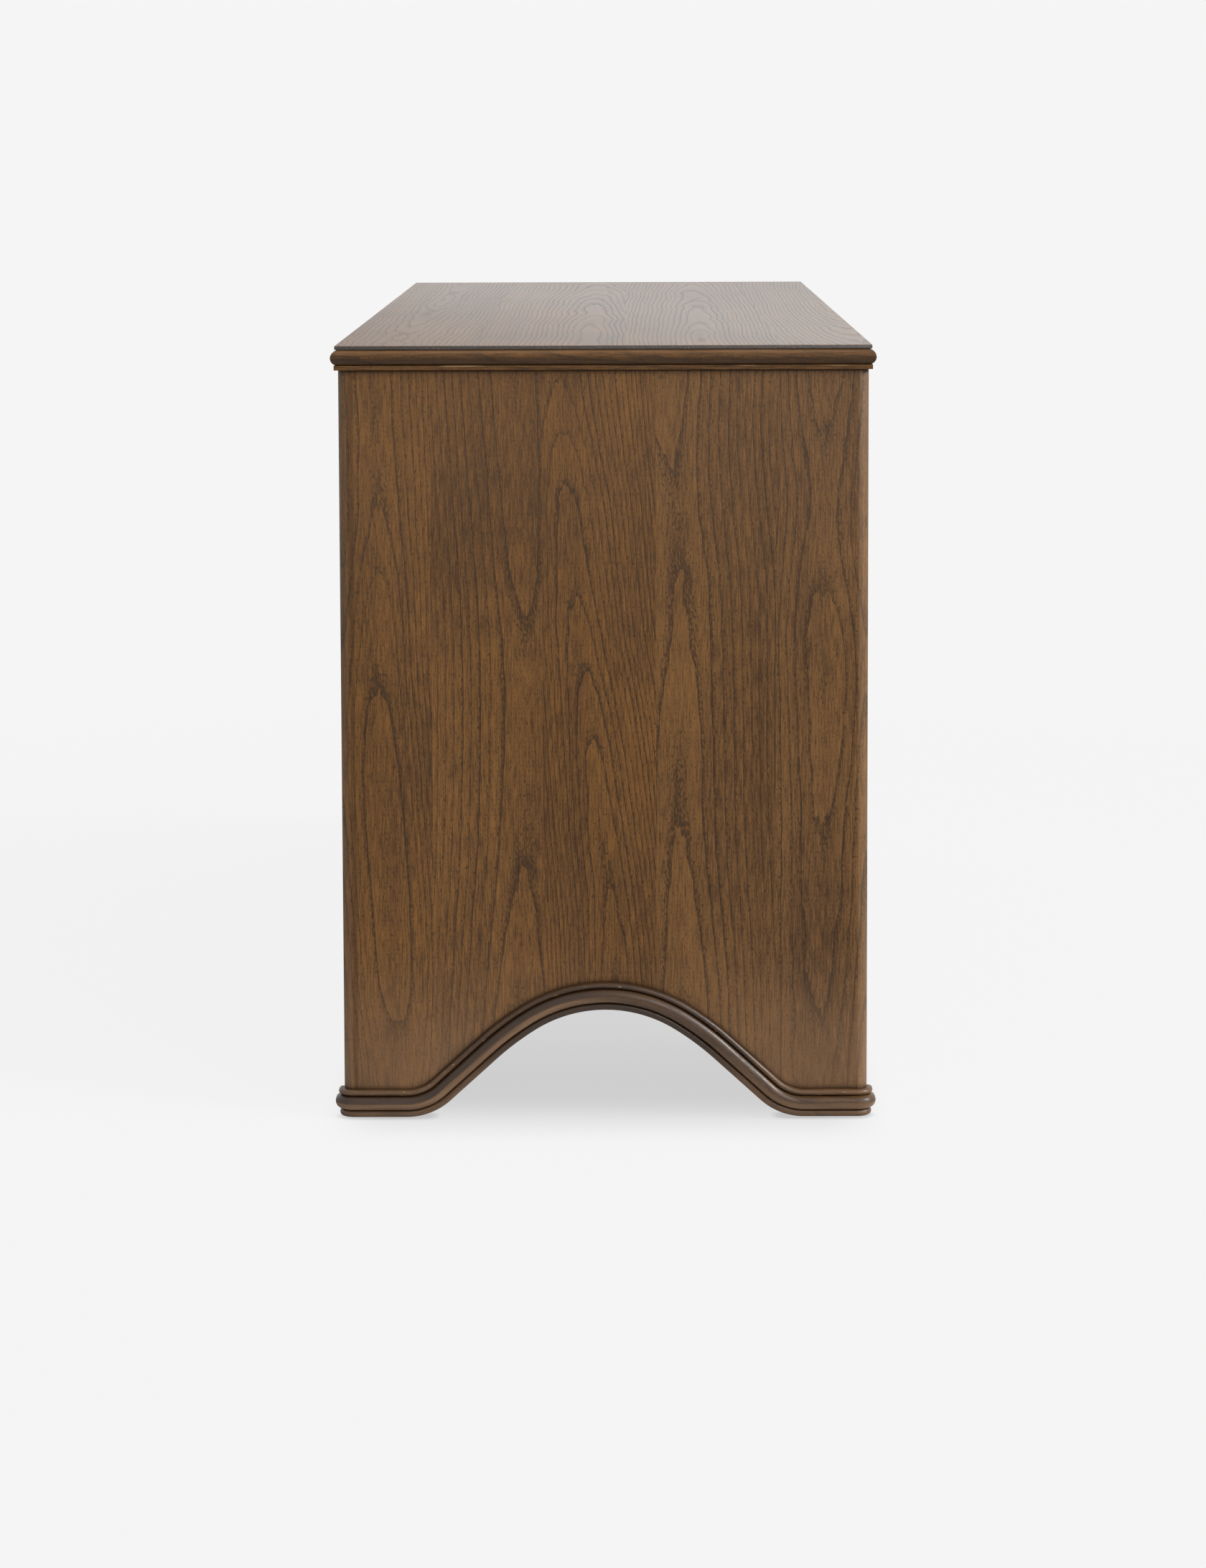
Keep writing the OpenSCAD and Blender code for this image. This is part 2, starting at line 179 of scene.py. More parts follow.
def srgb(red, green, blue):
    """A colour as a screen shows it, from 0 to 255, turned into the linear values that shaders take."""
    levels = [c / 255 for c in (red, green, blue)]
    return tuple(c / 12.92 if c <= 0.04045 else ((c + 0.055) / 1.055) ** 2.4 for c in levels) + (1.0,)


def start(name):
    """A new material, its Principled shader and a wire on its tree."""
    made = bpy.data.materials.new(name)
    made.use_nodes = True
    return made, made.node_tree.nodes["Principled BSDF"], Wire(made.node_tree)


def connect(shader, wire, values):
    """Feeds the shader's sockets with numbers, colours or wires."""
    for name, value in values.items():
        if isinstance(value, Wire):
            wire.tree.links.new(value.socket, shader.inputs[name])
        else:
            shader.inputs[name].default_value = value


print("helpers ready")

# %% [markdown]
# ## Floor, backdrop and light
# The picture has one pale tone from floor to wall, and a soft shadow that hardly leaves the object. A
# floor that only took light would turn grey in steps, so to the camera it also glows evenly, and that glow
# carries painted shade. The painted shade under the case is a soft patch in the floor's own coordinates,
# about as large as the case, and the Ambient Occlusion node paints a thin contact shadow where a foot
# meets the floor. To every other ray it is a plain pale floor that throws light back up, most of all close
# to the dresser. The sky is a little brighter on the key light's side.

# %% World
BLACK, WHITE = (0.0, 0.0, 0.0, 1.0), (1.0, 1.0, 1.0, 1.0)
BACKDROP = srgb(245, 245, 245)
SKY_LEVEL = 0.52
SKY_LEAN = 0.30

world = bpy.data.worlds.new("studio")
world.use_nodes = True
bpy.context.scene.world = world
sky_wire = Wire(world.node_tree)
camera_ray, glossy_ray, clear_ray = [
    sky_wire.node("LightPath", out=name) for name in ("Is Camera Ray", "Is Glossy Ray", "Is Transmission Ray")
]
seen = camera_ray.maths("MAXIMUM", camera_ray, glossy_ray.maths("MAXIMUM", glossy_ray, clear_ray))
pale = sky_wire.node("Background", None, {"Color": BACKDROP, "Strength": 1.0})
towards_key = axes(sky_wire, sky_wire.node("TexCoord", out="Generated"))[1] * SKY_LEAN + 1.0
sky = sky_wire.node("Background", None, {"Color": WHITE, "Strength": towards_key * SKY_LEVEL})
backdrop = sky_wire.node("MixShader", None, {0: seen, 1: sky, 2: pale})
world.node_tree.links.new(backdrop.socket, world.node_tree.nodes["World Output"].inputs["Surface"])
print("world made")

# %% Floor
FLOOR_REACH = 14.0
NEAR_TONE, FAR_TONE = 0.86, 0.55
TONE_REACH = (0.6, 2.6)
SHADE_DEPTH, SHADE_RIM = 0.245, 0.045
RIM_REACH = (0.30, 0.60)
SHADE_ALONG = (0.660, 0.870)
SHADE_ACROSS = (0.205, 0.285)
CONTACT_REACH = 0.010
CONTACT_BLUR = (0.05, 0.7)
CONTACT_DEPTH = 0.24
GLOW_SHARE = 0.95

floor_mesh = bpy.data.meshes.new("floor")
corners = [(x * FLOOR_REACH, y * FLOOR_REACH, 0) for x, y in ((-1, -1), (1, -1), (1, 1), (-1, 1))]
floor_mesh.from_pydata(corners, [], [(0, 1, 2, 3)])
floor = bpy.data.objects.new("floor", floor_mesh)
bpy.context.scene.collection.objects.link(floor)
floor_finish, floor_shader, wire = start("floor")
ground = wire.node("TexCoord", out="Object")
x, y, z = axes(wire, ground)
away = smooth(wire.node("VectorMath", {"operation": "LENGTH"}, {0: ground}, out="Value"), *TONE_REACH)
tone = mix(away, (NEAR_TONE,) * 3 + (1.0,), (FAR_TONE,) * 3 + (1.0,))
connect(floor_shader, wire, {"Base Color": tone, "Roughness": 0.9, "Specular IOR Level": 0.0})
out_along = smooth(x.maths("ABSOLUTE", x), *SHADE_ALONG)
out_across = smooth(y.maths("ABSOLUTE", y), *SHADE_ACROSS)
openness = wire.node("AmbientOcclusion", {"samples": 16}, {"Distance": CONTACT_REACH}, out="AO")
depth = smooth(x.maths("ABSOLUTE", x), *RIM_REACH) * SHADE_RIM + SHADE_DEPTH
# Painted shade under the case and a painted contact shadow at the feet, both carried by the camera's glow
shade = (1.0 - out_along) * (1.0 - out_across) * depth
contact_shadow = smooth(1.0 - openness, *CONTACT_BLUR) * CONTACT_DEPTH
glow_colour = mix((1.0 - shade) * (1.0 - contact_shadow), BLACK, BACKDROP)
glow = wire.node("Emission", None, {"Color": glow_colour, "Strength": 1.0})
share = wire.node("LightPath", out="Is Camera Ray") * (away * (1.0 - GLOW_SHARE) + GLOW_SHARE)
lit = Wire(wire.tree, floor_shader.outputs[0])
floor_look = wire.node("MixShader", None, {0: share, 1: lit, 2: glow})
wire.tree.links.new(floor_look.socket, wire.tree.nodes["Material Output"].inputs["Surface"])
floor_mesh.materials.append(floor_finish)
print("floor made")

# %% Key light from the photograph's upper right
KEY_FROM = Vector((0.25, 0.80, 0.55))
KEY_LEVEL = 2.8
KEY_SPREAD = 24

key = bpy.data.objects.new("key", bpy.data.lights.new("key", "SUN"))
key.data.energy = KEY_LEVEL
key.data.angle = math.radians(KEY_SPREAD)
key.rotation_euler = KEY_FROM.to_track_quat("Z", "Y").to_euler()
bpy.context.scene.collection.objects.link(key)
bpy.context.scene.view_settings.view_transform = "Standard"
print("key light made")

# %% A softbox off the right end, for the gloss on the beads
SOFTBOX_PLACE = Vector((3.3, 1.5, 2.3))
SOFTBOX_AIM = Vector((0.76, 0.25, 0.2))
SOFTBOX_SIDE = 1.0
SOFTBOX_WATTS = 24

softbox = bpy.data.objects.new("softbox", bpy.data.lights.new("softbox", "AREA"))
softbox.data.energy = SOFTBOX_WATTS
softbox.data.size = SOFTBOX_SIDE
softbox.location = SOFTBOX_PLACE
softbox.rotation_euler = (SOFTBOX_PLACE - SOFTBOX_AIM).to_track_quat("Z", "Y").to_euler()
bpy.context.scene.collection.objects.link(softbox)
print("softbox made")

# %% [markdown]
# ## The grain of ash
# A board shows the rings of the log that it was sawn from. A ring is the set of points at one distance
# from the log's heart, so the whole pattern comes from one number, that distance. Where the saw runs
# nearly along a ring, the rings come out as the pointed arches that makers call cathedrals, and where
# it crosses them they come out as straight lines. The heart's place, its depth below the face and how
# fast the log tapers are all that it takes to tell one leaf of veneer from the next.

# %% Count the rings from the heart of the log
# How many waves there are in a metre, across the grain and along it
SWAY_RATE = (1.5, 3.2)
SWELL_RATE = (16.0, 5.0)
WAVE_RATE = (17.0, 3.5)
JAG_RATE = (150.0, 24.0)
YEAR_RATE = 42.0
RIPPLED_HEART = 1.7


def leaf_noise(place, across, along, shift, detail=2.0):
    """Noise in a leaf: across and along give how many waves there are in a metre each way."""
    u, v, w = place
    return noise(point(u * across + shift, v * along, w * across), detail)


def ring_count(place, leaf):
    """How many rings lie inside a place, which is u across the leaf, v along it and w into it.

    The second result is how squarely the saw cuts the rings there, from 0 at the heart to 1 far from it.
    """
    u, v, w = place
    shift = leaf["shift"]
    sway = leaf_noise(place, *SWAY_RATE, shift, 1.0) * leaf["sway"]
    swell = leaf_noise(place, *SWELL_RATE, shift + 5.0, 1.0) * leaf["swell"]
    across = u - leaf["heart"] - sway
    deep = w + leaf["depth"] + swell
    round_heart = across.maths("SQRT", across * across + deep * deep)
    slant = across.maths("ABSOLUTE", across) / round_heart
    wave = leaf_noise(place, *WAVE_RATE, shift) * leaf["wave"]
    jag = leaf_noise(place, *JAG_RATE, shift, 3.0) * leaf["jag"] * (RIPPLED_HEART - slant)
    distance = round_heart + wave + jag
    narrow = distance.maths("MAXIMUM", distance - leaf["knee"], 0.0) * leaf["crowd"]
    good_years = noise(point(distance * YEAR_RATE + shift, shift, 0.0), 1.0) * leaf["uneven"]
    return distance / leaf["spacing"] + narrow + good_years, slant


print("ring pattern ready")

# %% [markdown]
# Ash is ring-porous: each spring the tree grows a band of large open pores, and then dense smooth wood
# until the autumn. Stain sinks into the pores, so each ring starts with a crisp dark line that breaks
# up into short dashes and fades into plain wood. The first ramp below is that line, the second says how
# thickly the pores stand, and the pores are a fine noise, stretched along the grain.

# %% Spring wood, pores and fibres
LINE = [(0.0, 0.35), (0.02, 1.0), (0.09, 0.90), (0.14, 0.34), (0.30, 0.14), (0.7, 0.03), (1.0, 0.0)]
PORE_CROWD = [(0.0, 0.5), (0.03, 1.0), (0.12, 0.80), (0.30, 0.42), (0.6, 0.22), (1.0, 0.16)]
DASH_RATE = (420.0, 110.0)
PORE_RATE = (560.0, 210.0)
FIBRE_RATE = (640.0, 42.0)


def ash_grain(place, leaf):
    """How much spring wood, pore and fibre there is at each point of a leaf."""
    rings, slant = ring_count(place, leaf)
    year = rings.maths("FLOOR", rings) + leaf["shift"]
    strength = year.node("TexWhiteNoise", {"noise_dimensions": "1D"}, {"W": year}) * 0.35 + 0.65
    part_of_year = rings.maths("FRACT", rings)
    even_line = part_of_year / (slant * 0.8 + 0.2)
    dashes = smooth(leaf_noise(place, *DASH_RATE, leaf["shift"] + 9.0, 1.0), -0.6, 0.2) * 0.4 + 0.6
    spring = rings.node("ValToRGB", {"stops": LINE}, {"Fac": even_line}) * strength * dashes * leaf["mark"]
    crowd = rings.node("ValToRGB", {"stops": PORE_CROWD}, {"Fac": part_of_year}) * strength
    fine = leaf_noise(place, *PORE_RATE, leaf["shift"], 2.0)
    pores = smooth(fine + crowd * 0.62, 0.24, 0.60)
    fibres = leaf_noise(place, *FIBRE_RATE, leaf["shift"], 3.0) + fine * 0.7
    return spring, pores, fibres


print("pore pattern ready")

# %% Stain over the wood, and painted shade in its creases
CLOUD_RATE = (7.0, 4.0)
STREAK_RATE = (60.0, 1.6)
GLAZE_AND_SHADE = srgb(30, 20, 12)
GLAZE_AND_SHADE_REACH = 0.007
GLAZE_AND_SHADE_BLUR = (0.12, 0.62)


def stained(place, grain, stain, leaf):
    """The stain's colour: pale in smooth wood, dark in the pores, and a little uneven all over."""
    spring, pores, fibres = grain
    clouds = leaf_noise(place, *CLOUD_RATE, leaf["shift"], 4.0)
    streaks = leaf_noise(place, *STREAK_RATE, leaf["shift"], 2.0)
    evenness = smooth(fibres * 1.4 + clouds * 0.85 + streaks * 0.5, -1.05, 1.0)
    pale = mix(leaf["warmth"], stain["cool"], stain["warm"])
    ground = mix(evenness, stain["deep"], pale)
    ringed = mix(spring * stain["ring_share"], ground, stain["ring"])
    return mix(pores * stain["pore_share"], ringed, stain["pore"])


def glazed_and_shaded(wire, colour, share):
    """Stain and old polish gather where two pieces meet and in the grooves of a moulding, and the Ambient
    Occlusion node that finds them adds painted shade there too.
    """
    # Darker where the Ambient Occlusion node finds a crease: partly stain gathered there, partly painted
    # shade
    openness = wire.node("AmbientOcclusion", {"samples": 6}, {"Distance": GLAZE_AND_SHADE_REACH}, out="AO")
    return mix(smooth(1.0 - openness, *GLAZE_AND_SHADE_BLUR) * share, colour, GLAZE_AND_SHADE)


print("stain ready")

# %% [markdown]
# ## Leaves of veneer
# Each leaf repeats the same few numbers. On the end that the photograph shows, they are chosen leaf by
# leaf so that the cathedral stands where it does there. Everywhere else they come from White Noise,
# which gives every leaf its own heart, depth and taper from its number.

# %% Leaves that follow the photograph
# A leaf starts at its edge. Its hearts and depths are in millimetres at heights in metres.
LEAF = dict(sway=0.004, swell=0.0022, wave=0.0016, jag=0.0008, uneven=0.3, knee=1.0, crowd=0.0)
END_LEAVES = [
    dict(LEAF, edge=-0.300, spacing=0.009, knee=0.034, crowd=125.0, warmth=0.85, mark=0.6,
         hearts=[(0.0, -203), (0.1, -205), (0.25, -211), (0.42, -220), (0.56, -219), (0.74, -222)],
         depths=[(0.0, 33), (0.05, 31.5), (0.098, 27), (0.135, 22.8), (0.215, 20.6), (0.32, 20.6),
                 (0.362, 22.8), (0.42, 27), (0.56, 36), (0.65, 39), (0.74, 40)]),
    dict(LEAF, edge=-0.168, spacing=0.0068, warmth=0.7, mark=0.75,
         hearts=[(0.0, -90), (0.24, -79), (0.52, -78), (0.74, -86)],
         depths=[(0.0, 32), (0.14, 36), (0.225, 40.8), (0.38, 44), (0.52, 40.8), (0.6, 38), (0.74, 35)]),
    dict(LEAF, edge=-0.060, spacing=0.0040, swell=0.0024, jag=0.0009, warmth=0.9, mark=1.0,
         hearts=[(0.0, 16), (0.245, 2), (0.444, -20), (0.62, -36), (0.74, -44)],
         depths=[(0.0, 18), (0.16, 21), (0.3, 25), (0.371, 28), (0.444, 32), (0.518, 36), (0.621, 40),
                 (0.677, 44), (0.735, 48)]),
    dict(LEAF, edge=0.0505, spacing=0.0068, warmth=0.35, mark=0.6,
         hearts=[(0.0, 82), (0.264, 74), (0.54, 73), (0.667, 62), (0.74, 60)],
         depths=[(0.0, 33), (0.15, 36), (0.264, 40.8), (0.4, 44), (0.54, 47.6), (0.6, 49.6), (0.667, 47.6),
                 (0.74, 43)]),
    dict(LEAF, edge=0.167, spacing=0.0060, sway=0.009, wave=0.0048, jag=0.0013, warmth=0.2, mark=0.6,
         hearts=[(0.0, 205), (0.3, 212), (0.59, 216), (0.74, 214)],
         depths=[(0.0, 46), (0.12, 42), (0.2, 39), (0.31, 36), (0.45, 32), (0.532, 36), (0.59, 39),
                 (0.645, 36), (0.74, 30)]),
]
LEAF_TOP = 0.75
CURVE_LOW, CURVE_SPAN = -300.0, 600.0
SHIFT_STEP = 11.7
MARK_LOW, MARK_RISE = 0.80, 0.55


def along_curve(v, stops):
    """A smooth curve through a few heights on a leaf, in metres, each with its value in millimetres."""
    levels = [(height / LEAF_TOP, (value - CURVE_LOW) / CURVE_SPAN) for height, value in stops]
    sockets = {"Fac": v / LEAF_TOP}
    ramp = v.node("ValToRGB", {"stops": levels, "interpolation": "CARDINAL"}, sockets)
    return (ramp * CURVE_SPAN + CURVE_LOW) * 0.001


def chosen_leaf(leaves):
    """A leaf whose numbers are wires that step from one leaf to the next across the board.

    The grain is marked more strongly towards the top of the board.
    """
    def pick(place):
        u, v, w = place
        numbered = [dict(leaf, shift=SHIFT_STEP * i) for i, leaf in enumerate(leaves)]
        for leaf in numbered:
            leaf["heart"] = along_curve(v, leaf.pop("hearts"))
            leaf["depth"] = along_curve(v, leaf.pop("depths"))
        past = [u > leaf["edge"] for leaf in numbered[1:]]
        chosen = {}
        for name, value in numbered[0].items():
            for step, before, after in zip(past, numbered, numbered[1:]):
                if after[name] != before[name]:
                    value = step * (after[name] - before[name]) + value
            chosen[name] = value
        chosen["mark"] = (v * MARK_RISE + MARK_LOW) * chosen["mark"]
        return chosen
    return pick


print(len(END_LEAVES), "leaves on the end that shows")

# %% Leaves drawn by lot
def leaf_by_lot(width, seed, depth=0.020, rise=0.16, bow=0.12, spacing=0.0050, spread=0.6, swell=0.003,
                mark=0.8, wave=0.0018):
    """A leaf whose numbers White Noise draws from its place across the board.

    The depth follows a line and a bow about a middle, which is drawn too, and the heart leans a little.
    """
    offset = seed * 0.37

    def pick(place):
        u, v, w = place
        number = u.maths("FLOOR", u / width + offset)
        drawn = u.node("TexWhiteNoise", {"noise_dimensions": "1D"}, {"W": number + seed}, out="Color")
        first, second, third = axes(u, drawn)
        middle_of_leaf = (number + (0.5 - offset)) * width
        from_middle = v - (third - 0.5) * 0.8
        return {
            "heart": middle_of_leaf + (first - 0.5) * (width * spread) + v * (second - 0.5) * 0.05,
            "depth": second * 0.02 + depth + from_middle * (third - 0.5) * rise
                     + from_middle * from_middle * (first - 0.4) * bow,
            "spacing": first * 0.0016 + spacing,
            "sway": 0.006,
            "swell": swell,
            "mark": mark,
            "wave": wave,
            "jag": 0.0009,
            "uneven": 0.4,
            "knee": 1.0,
            "crowd": 0.0,
            "warmth": second,
            "shift": number * SHIFT_STEP + seed * 3.1,
        }
    return pick


def quarter_sawn(seed):
    """A narrow piece cut across the rings, so that they run straight along it."""
    return leaf_by_lot(0.5, seed, depth=0.05, rise=0.04, bow=0.03, spacing=0.0030, spread=0.4)


print("leaves by lot ready")

# %% [markdown]
# ## The stains
# Panels, fronts and top share one brown stain under a satin lacquer. The mouldings took more of it, the
# wood inside the case took less, and the drawer boxes are clear-lacquered and stay blond.

# %% Stains and their colours
CASE_STAIN = dict(
    warm=srgb(124, 84, 39), cool=srgb(121, 86, 49), deep=srgb(64, 42, 23), ring=srgb(52, 34, 19),
    pore=srgb(36, 25, 16), ring_share=0.80, pore_share=0.72,
)
TOP_STAIN = dict(CASE_STAIN, ring_share=0.45, pore_share=0.50)
MOULDING_STAIN = dict(
    warm=srgb(100, 67, 34), cool=srgb(90, 63, 38), deep=srgb(52, 35, 20), ring=srgb(38, 25, 15),
    pore=srgb(30, 21, 14), ring_share=0.55, pore_share=0.55,
)
BEAD_STAIN = dict(MOULDING_STAIN, warm=srgb(116, 78, 36), cool=srgb(104, 72, 38), deep=srgb(64, 43, 22))
INNER_STAIN = dict(
    warm=srgb(130, 98, 62), cool=srgb(124, 98, 68), deep=srgb(108, 80, 50), ring=srgb(92, 65, 38),
    pore=srgb(78, 55, 34), ring_share=0.4, pore_share=0.5,
)
CLEAR_LACQUER = dict(
    warm=srgb(208, 170, 118), cool=srgb(200, 172, 130), deep=srgb(188, 150, 102), ring=srgb(160, 120, 76),
    pore=srgb(138, 102, 66), ring_share=0.35, pore_share=0.4,
)
print("stains ready")

# %% One wood for every direction of grain
def along_board(across, along, into, surface=0.0):
    """Coordinates of a straight board: which axis runs across it, along its grain and into it."""
    def coordinates(wire):
        place = dict(zip("xyz", axes(wire, wire.node("TexCoord", out="Object"))))
        return place[across], place[along], place[into] - surface
    return coordinates


def along_moulding(wire):
    """Coordinates of a moulding, from the UV layer that was laid out as it was swept."""
    along, across, rest = axes(wire, wire.node("UVMap", {"uv_map": "grain"}))
    return across, along, rest


def band(value, low, high, blur):
    """1 between low and high, and 0 outside, with soft edges."""
    return smooth(value, low - blur, low + blur) * (1.0 - smooth(value, high - blur, high + blur))


print("grain runs along boards and mouldings")

# %% [markdown]
# ## Painted light and wear
# The finishes carry painted light and shade: paler near the floor and high up on the end panels, painted
# reflection on their corners, painted light and shade on the halves of the beads, and painted shade over the
# arch. The chips on the beads are wear, and stain lies thick in the hollows, where painted shade is added
# too. On a board these places follow its own coordinates. On a moulding they follow the way round its
# section, so that one strip runs along the whole length of a bead.

# %% Painted light on the end panels
# Heights over which the painted floor light near the floor and the painted light from above change
FLOOR_LIGHT_REACH = (0.02, 0.19)
LIGHT_FROM_ABOVE = (0.35, 0.75)
# Strips across the panel: a darker one behind the front corner, and the corners themselves, paler with
# painted reflection
DARK_STRIP = (-0.2478, -0.2430, 0.0008)
FRONT_CORNER = (-0.2565, -0.2492, 0.0006)
BACK_CORNER = (0.2480, 0.2560, 0.0006)
PANEL_LIGHT_TONE, DARK_STRIP_TONE, CORNER_REFLECTION_TONE = srgb(142, 112, 86), srgb(60, 40, 22), srgb(172, 146, 120)


def painted_light_on_panels(wire, place, colour):
    """Painted light: paler and greyer near the floor, a little paler high up, and painted reflection on the
    corners.

    A darker strip runs behind the front corner.
    """
    u, v, w = place
    # Painted floor light near the floor, and painted light from above high up
    painted_floor_light = 1.0 - smooth(v + noise(point(u * 9.0, v * 7.0, w * 9.0), 3.0) * 0.035, *FLOOR_LIGHT_REACH)
    rubbed_and_painted_light = smooth(v + noise(point(u * 5.0, v * 4.0, w * 9.0), 2.0) * 0.1, *LIGHT_FROM_ABOVE)
    painted_light = mix(painted_floor_light * 0.34 + rubbed_and_painted_light * 0.10, colour, PANEL_LIGHT_TONE)
    dark_strip = mix(band(u, *DARK_STRIP) * 0.42, painted_light, DARK_STRIP_TONE)
    # Painted reflection on the rounded corners
    corners = band(u, *FRONT_CORNER) * 0.10 + band(u, *BACK_CORNER) * 0.11
    return mix(corners, dark_strip, CORNER_REFLECTION_TONE)


print("wear of the panels ready")

# %% A darker lip on the top
LIP_START = (0.0003, 0.0008)
LIP_TONE = srgb(32, 21, 12)


def darker_lip(wire, place, colour):
    """The thin upright edge of the top is made darker than its face."""
    u, v, w = place
    below = smooth(w * -1.0, *LIP_START)
    return mix(below * 0.95, colour, LIP_TONE)


print("lip ready")

# %% Painted light and shade on the mouldings, and their chips
# Strips round the base section: where each starts and ends, and how soft its edges are, in metres
LOW_BEAD = (0.0020, 0.0112, 0.0010)
LIT_LOWER_STRIP = (0.0150, 0.0232, 0.0015)
SHADED_UPPER_STRIP = (0.0240, 0.0330, 0.0016)
HIGH_BEAD = (0.0358, 0.0455, 0.0010)
CHIPPED_STRIP = (0.0380, 0.0440, 0.0010)
# Strips round the section under the top
PALE_ARRIS = (0.0243, 0.0260, 0.0004)
BEAD_GROOVE = (0.0258, 0.0292, 0.0005)
SHADED_UNDERSIDE = (0.0285, 0.0385, 0.0030)
LIT_UPPER_HALF = (0.0405, 0.0455)
# How high the feet's painted light reaches, and where the arch passes from its front half to its back half
FOOT_TOP = (0.03, 0.08)
BACK_LIMB = (-0.03, 0.05)
BEAD_LIGHT_TONE, BEAD_SHADE_TONE, ARCH_SHADE_TONE = srgb(138, 106, 76), srgb(46, 32, 20), srgb(42, 28, 18)
CREST_SHADE_TONE, CHIP_TONE = srgb(50, 34, 19), srgb(158, 120, 80)
UNDER_SHADE_TONE, UPPER_LIGHT_TONE, ARRIS_TONE = srgb(44, 30, 18), srgb(140, 108, 80), srgb(168, 132, 92)


def patches(place, seed):
    """Soft patches along a bead, which make its painted light uneven."""
    around, along, rest = place
    return smooth(noise(point(around * 110.0, along * 11.0, seed), 3.0), -0.5, 0.5)


def beads_with_painted_light_and_chips(wire, place, colour):
    """Painted light on the big bead's lower half and painted shade on its upper half, both fading on the back
    limb.

    The arch carries painted shade, deepest on its small beads, the feet's small beads carry painted light,
    and chips are scattered here and there.
    """
    around, along, rest = place
    x, y, z = axes(wire, wire.node("TexCoord", out="Object"))
    at_foot = 1.0 - smooth(z, *FOOT_TOP)
    back_half = smooth(y, *BACK_LIMB)
    back_limb = back_half * (1.0 - at_foot)
    # Painted floor light on the big bead's lower half, and painted shade on its upper half
    rubbed_and_painted_light = band(around, *LIT_LOWER_STRIP) * (patches(place, 3.0) * 0.5 + 0.2) * (1.0 - back_limb * 0.85)
    painted_upper_shade = band(around, *SHADED_UPPER_STRIP) * 0.75 * (1.0 - back_half)
    # Painted shade over the whole arch, away from the feet
    ground = mix((1.0 - at_foot) * 0.38, colour, CREST_SHADE_TONE)
    big_bead = mix(painted_upper_shade, mix(rubbed_and_painted_light, ground, BEAD_LIGHT_TONE), BEAD_SHADE_TONE)
    low_bead = band(around, *LOW_BEAD)
    high_bead = band(around, *HIGH_BEAD)
    # Painted light on the feet's small beads, and deeper painted shade on the arch's small beads
    feet = mix((low_bead + high_bead) * at_foot * 0.18, big_bead, BEAD_LIGHT_TONE)
    arch = mix((low_bead * 0.6 + high_bead * 0.3) * (1.0 - at_foot), feet, ARCH_SHADE_TONE)
    chip = smooth(noise(point(around * 300.0, along * 90.0, 8.0), 2.0), 0.30, 0.42)
    return mix(band(around, *CHIPPED_STRIP) * chip * 0.7, arch, CHIP_TONE)


def top_bead_with_painted_light(wire, place, colour):
    """The bead under the top has painted light on its upper half and painted shade below it.

    Its groove is darker with stain and painted shade, and a pale line runs in stretches along the fillet's
    upper edge.
    """
    around, along, rest = place
    # Painted shade on the bead's lower half, painted light on its upper half, and stain with painted shade in
    # its groove
    dark = mix(band(around, *SHADED_UNDERSIDE) * 0.6, colour, UNDER_SHADE_TONE)
    pale = mix(smooth(around, *LIT_UPPER_HALF) * (patches(place, 5.0) * 0.3 + 0.3), dark, UPPER_LIGHT_TONE)
    grooved = mix(band(around, *BEAD_GROOVE) * 0.95, pale, GLAZE_AND_SHADE)
    pale_stretches = smooth(noise(point(along * 12.0, 2.0, 7.0), 3.0), 0.0, 0.3)
    return mix(band(around, *PALE_ARRIS) * pale_stretches * 0.6, grooved, ARRIS_TONE)


print("wear of the mouldings ready")

# %% A wood from its stain, grain and wear
COAT_ROUGHNESS = 0.2


def bump(height, distance, strength=1.0):
    """The Normal of a surface with this height map, which stands up by distance in metres."""
    sockets = {"Strength": strength, "Distance": distance, "Height": height}
    return height.node("Bump", None, sockets, out="Normal")


def wood(name, stain, coordinates, leaf_at, gloss=0.42, relief=0.00012, shine=0.2, painted_light_and_marks=None, glaze_and_shade=0.85,
         lacquer=0.0):
    """A wood finish. painted_light_and_marks, when given, paints light, shade and other marks onto its
    colour. worn turns the finish's colour into that of its rubbed places.
    """
    made, shader, wire = start(name)
    place = coordinates(wire)
    leaf = leaf_at(place)
    grain = ash_grain(place, leaf)
    spring, pores, fibres = grain
    colour = stained(place, grain, stain, leaf)
    if painted_light_and_marks:
        colour = painted_light_and_marks(wire, place, colour)
    if glaze_and_shade:
        colour = glazed_and_shaded(wire, colour, glaze_and_shade)
    connect(shader, wire, {
        "Base Color": colour,
        "Roughness": spring * 0.08 + pores * 0.12 + fibres * 0.03 + gloss,
        "Normal": bump(fibres * 0.12 - pores - spring * 0.45, relief),
        "Specular IOR Level": shine,
        "Coat Weight": lacquer,
        "Coat Roughness": COAT_ROUGHNESS,
    })
    return made


print("wood finish ready")

# %% The woods of the dresser
END_FACE, LONG_FACE, TOP_FACE = 0.753, 0.2575, 0.762
RIGHT_GRAIN, LEFT_GRAIN = along_board("y", "z", "x", END_FACE), along_board("y", "z", "x", -END_FACE)
FRONT_GRAIN, BACK_GRAIN = along_board("z", "x", "y", -LONG_FACE), along_board("z", "x", "y", LONG_FACE)
TOP_LEAF = leaf_by_lot(0.15, 5.0, rise=0.12, bow=0.03, spacing=0.0036, swell=0.006, mark=0.7, wave=0.0032)
BASE_LEAF = leaf_by_lot(0.5, 2.0, depth=0.03, spacing=0.004)
BEAD_LEAF = leaf_by_lot(0.5, 3.0, depth=0.03, spacing=0.004)

